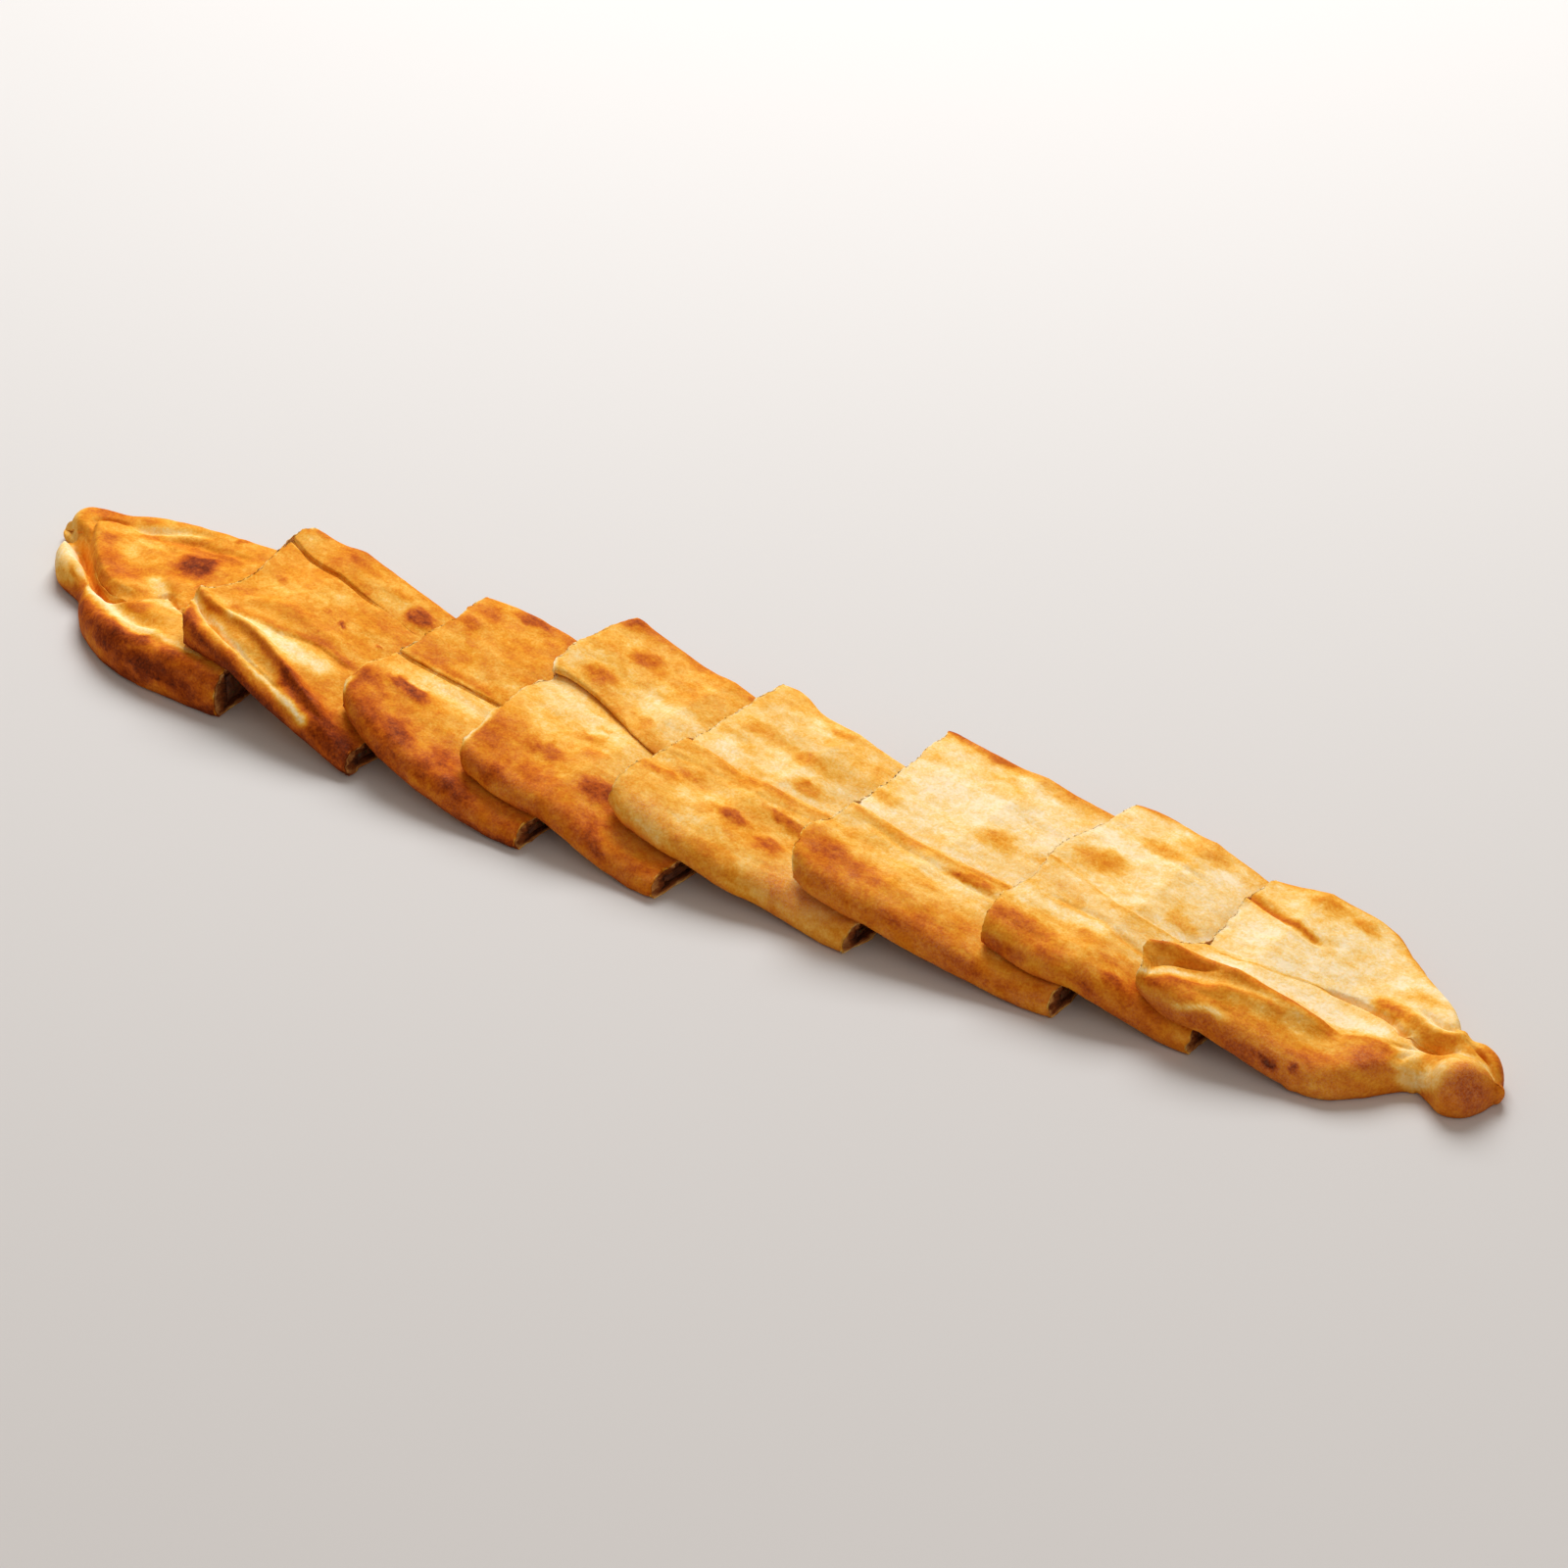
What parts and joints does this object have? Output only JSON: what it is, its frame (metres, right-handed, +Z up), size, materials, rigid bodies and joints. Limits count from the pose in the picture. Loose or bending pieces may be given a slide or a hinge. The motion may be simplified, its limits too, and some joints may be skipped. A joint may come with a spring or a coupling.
{
  "type": "closed pide, sliced",
  "caption": "Long closed pide, a flat bread folded over a minced filling, baked golden, cut across into slices that lie shingled in the bread's own shape, with a knotted end.",
  "frame": {"origin": "middle of the pide's footprint, on the surface that it lies on", "axes": "+X along the pide from its left tip to its knotted right tip, +Y across it to the back, +Z up"},
  "size_m": [0.659, 0.1258, 0.0336],
  "materials": {
    "baked_crust": "matt baked bread crust, cream to golden, browned on folds and blisters",
    "minced_filling": "moist cooked mince with herbs, brown, finely lumpy"
  },
  "bodies": {
    "root": {"slice_1": "baked_crust", "slice_2": "baked_crust", "slice_3": "baked_crust", "slice_4": "baked_crust", "slice_5": "baked_crust", "slice_6": "baked_crust", "slice_7": "baked_crust", "slice_8": "baked_crust", "filling_1": "minced_filling", "filling_2": "minced_filling", "filling_3": "minced_filling", "filling_4": "minced_filling", "filling_5": "minced_filling", "filling_6": "minced_filling", "filling_7": "minced_filling", "filling_8": "minced_filling"}
  },
  "joints": []
}
